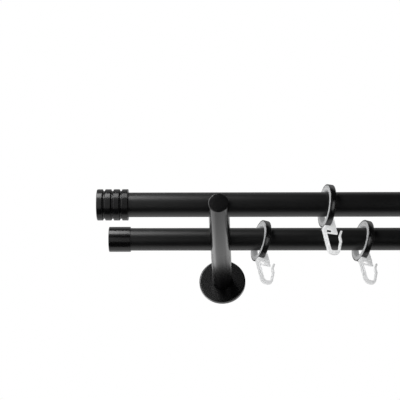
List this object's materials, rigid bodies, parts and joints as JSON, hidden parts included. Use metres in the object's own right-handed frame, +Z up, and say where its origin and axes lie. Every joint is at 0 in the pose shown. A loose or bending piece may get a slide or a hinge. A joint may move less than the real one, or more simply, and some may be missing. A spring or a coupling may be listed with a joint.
{
  "type": "double curtain pole",
  "caption": "Double curtain pole: two black tubes in saddles on round wall arms, with ribbed finials, end cups and lined rings that slide and carry pleat hooks.",
  "frame": {"origin": "wall plane, midway between the two arms, at the height of the arms' axes", "axes": "+X along the poles, +Y into the wall, +Z up; the room is on the -Y side"},
  "size_m": [0.634, 0.1977, 0.0608],
  "materials": {
    "pole_black": "satin black coat on steel tube",
    "finial_black": "satin black coat on turned metal",
    "cap_black": "satin black coat on a drawn cup",
    "arm_black": "satin black coat on turned bar",
    "ring_black": "satin black coat on a flat band",
    "liner_white": "smooth milky moulded plastic",
    "hook_white": "smooth milky moulded plastic",
    "bolt_zinc": "bright zinc plate",
    "grub_black": "black oxide"
  },
  "bodies": {
    "wall_frame": {"front_pole": "pole_black", "rear_pole": "pole_black", "front_finial_left": "finial_black", "rear_end_cap_left": "cap_black", "bracket_arm_left": "arm_black", "rosette_left": "arm_black", "front_finial_right": "finial_black", "rear_end_cap_right": "cap_black", "bracket_arm_right": "arm_black", "rosette_right": "arm_black", "finial_grub_screws": "grub_black", "hanger_bolts": "bolt_zinc"},
    "rear_glider_1": {"rear_ring_1": "ring_black", "rear_glide_liner_1": "liner_white", "rear_pleat_hook_1": "hook_white"},
    "rear_glider_2": {"rear_ring_2": "ring_black", "rear_glide_liner_2": "liner_white", "rear_pleat_hook_2": "hook_white"},
    "rear_glider_3": {"rear_ring_3": "ring_black", "rear_glide_liner_3": "liner_white", "rear_pleat_hook_3": "hook_white"},
    "rear_glider_4": {"rear_ring_4": "ring_black", "rear_glide_liner_4": "liner_white", "rear_pleat_hook_4": "hook_white"},
    "rear_glider_5": {"rear_ring_5": "ring_black", "rear_glide_liner_5": "liner_white", "rear_pleat_hook_5": "hook_white"},
    "front_glider_1": {"front_ring_1": "ring_black", "front_glide_liner_1": "liner_white", "front_pleat_hook_1": "hook_white"},
    "front_glider_2": {"front_ring_2": "ring_black", "front_glide_liner_2": "liner_white", "front_pleat_hook_2": "hook_white"},
    "front_glider_3": {"front_ring_3": "ring_black", "front_glide_liner_3": "liner_white", "front_pleat_hook_3": "hook_white"},
    "front_glider_4": {"front_ring_4": "ring_black", "front_glide_liner_4": "liner_white", "front_pleat_hook_4": "hook_white"}
  },
  "joints": [
    {"name": "rear_glider_1_slide", "type": "slide", "parent": "wall_frame", "child": "rear_glider_1", "axis": [1, 0, 0], "range_m": [-0.016, 0.031]},
    {"name": "rear_glider_2_slide", "type": "slide", "parent": "wall_frame", "child": "rear_glider_2", "axis": [1, 0, 0], "range_m": [-0.031, 0.031]},
    {"name": "rear_glider_3_slide", "type": "slide", "parent": "wall_frame", "child": "rear_glider_3", "axis": [1, 0, 0], "range_m": [-0.031, 0.031]},
    {"name": "rear_glider_4_slide", "type": "slide", "parent": "wall_frame", "child": "rear_glider_4", "axis": [1, 0, 0], "range_m": [-0.031, 0.031]},
    {"name": "rear_glider_5_slide", "type": "slide", "parent": "wall_frame", "child": "rear_glider_5", "axis": [1, 0, 0], "range_m": [-0.031, 0.031]},
    {"name": "front_glider_1_slide", "type": "slide", "parent": "wall_frame", "child": "front_glider_1", "axis": [1, 0, 0], "range_m": [-0.031, 0.031]},
    {"name": "front_glider_2_slide", "type": "slide", "parent": "wall_frame", "child": "front_glider_2", "axis": [1, 0, 0], "range_m": [-0.031, 0.031]},
    {"name": "front_glider_3_slide", "type": "slide", "parent": "wall_frame", "child": "front_glider_3", "axis": [1, 0, 0], "range_m": [-0.031, 0.031]},
    {"name": "front_glider_4_slide", "type": "slide", "parent": "wall_frame", "child": "front_glider_4", "axis": [1, 0, 0], "range_m": [-0.031, 0.031]}
  ]
}
